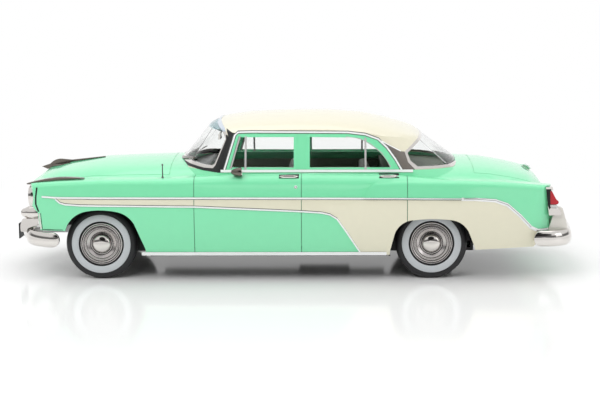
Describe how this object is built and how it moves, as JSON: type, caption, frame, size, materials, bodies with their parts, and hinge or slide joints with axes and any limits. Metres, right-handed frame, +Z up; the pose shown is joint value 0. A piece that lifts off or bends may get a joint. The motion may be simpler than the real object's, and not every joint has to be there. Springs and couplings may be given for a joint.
{
  "type": "scale model car",
  "caption": "Die-cast 1:18 scale model of a two-tone 1950s four-door saloon car with a wrapped windscreen, bright trims, whitewall tyres and four wheels that turn freely on fixed axles.",
  "frame": {"origin": "on the floor under the middle of the model's overall length and width, between the tyres' contact patches", "axes": "+X towards the tail (the car's front faces -X), +Y towards the car's right side, +Z up"},
  "size_m": [0.3097, 0.1114, 0.0876],
  "materials": {
    "body_green": "gloss",
    "roof_cream": "gloss",
    "bright": "polished",
    "glass": "polished",
    "lamp_glass": "polished",
    "red_lens": "gloss",
    "black_plastic": "matte",
    "tyre": "matte",
    "trim_brown": "satin",
    "trim_green": "satin",
    "steel": "satin",
    "plate": "satin"
  },
  "bodies": {
    "car": {"antenna": "bright", "backlight_frame": "bright", "backlight_glass": "glass", "belt_mouldings": "bright", "body_shell": "body_green", "bumper_bullet_left": "bright", "bumper_bullet_right": "bright", "chassis": "black_plastic", "dashboard": "trim_green", "deck_handle": "bright", "door_handles": "bright", "door_mirror": "bright", "drip_mouldings": "bright", "exhaust": "black_plastic", "front_axle": "steel", "front_bumper": "bright", "front_bumper_irons": "steel", "front_plate": "plate", "front_seat": "trim_brown", "grille": "bright", "headlamp_bezel_left": "bright", "headlamp_bezel_right": "bright", "headlamp_lens_left": "lamp_glass", "headlamp_lens_right": "lamp_glass", "hood_ornament": "bright", "inner_mirror": "bright", "interior_tub": "trim_brown", "lamp_brows": "bright", "lower_mouldings": "bright", "rear_axle": "steel", "rear_bumper": "bright", "rear_bumper_irons": "steel", "rear_guard_left": "bright", "rear_guard_right": "bright", "rear_plate": "plate", "rear_seat": "trim_brown", "roof_shell": "roof_cream", "side_glass_left": "glass", "side_glass_right": "glass", "sill_mouldings": "bright", "steering_wheel": "trim_green", "tail_lamp_left": "bright", "tail_lamp_right": "bright", "tail_lens_left": "red_lens", "tail_lens_right": "red_lens", "upper_mouldings": "bright", "window_frames_left": "bright", "window_frames_right": "bright", "windshield_frame": "bright", "windshield_glass": "glass", "wipers": "bright"},
    "front_left_wheel": {"tyre_front_left": "tyre", "wheel_front_left": "bright"},
    "front_right_wheel": {"tyre_front_right": "tyre", "wheel_front_right": "bright"},
    "rear_left_wheel": {"tyre_rear_left": "tyre", "wheel_rear_left": "bright"},
    "rear_right_wheel": {"tyre_rear_right": "tyre", "wheel_rear_right": "bright"}
  },
  "joints": [
    {"name": "front_left_spin", "type": "hinge", "parent": "car", "child": "front_left_wheel", "pos_m": [-0.10175, -0.0425, 0.0192], "axis": [0, 1, 0], "continuous": true},
    {"name": "front_right_spin", "type": "hinge", "parent": "car", "child": "front_right_wheel", "pos_m": [-0.10175, 0.0425, 0.0192], "axis": [0, 1, 0], "continuous": true},
    {"name": "rear_left_spin", "type": "hinge", "parent": "car", "child": "rear_left_wheel", "pos_m": [0.07605, -0.0421, 0.0192], "axis": [0, 1, 0], "continuous": true},
    {"name": "rear_right_spin", "type": "hinge", "parent": "car", "child": "rear_right_wheel", "pos_m": [0.07605, 0.0421, 0.0192], "axis": [0, 1, 0], "continuous": true}
  ]
}
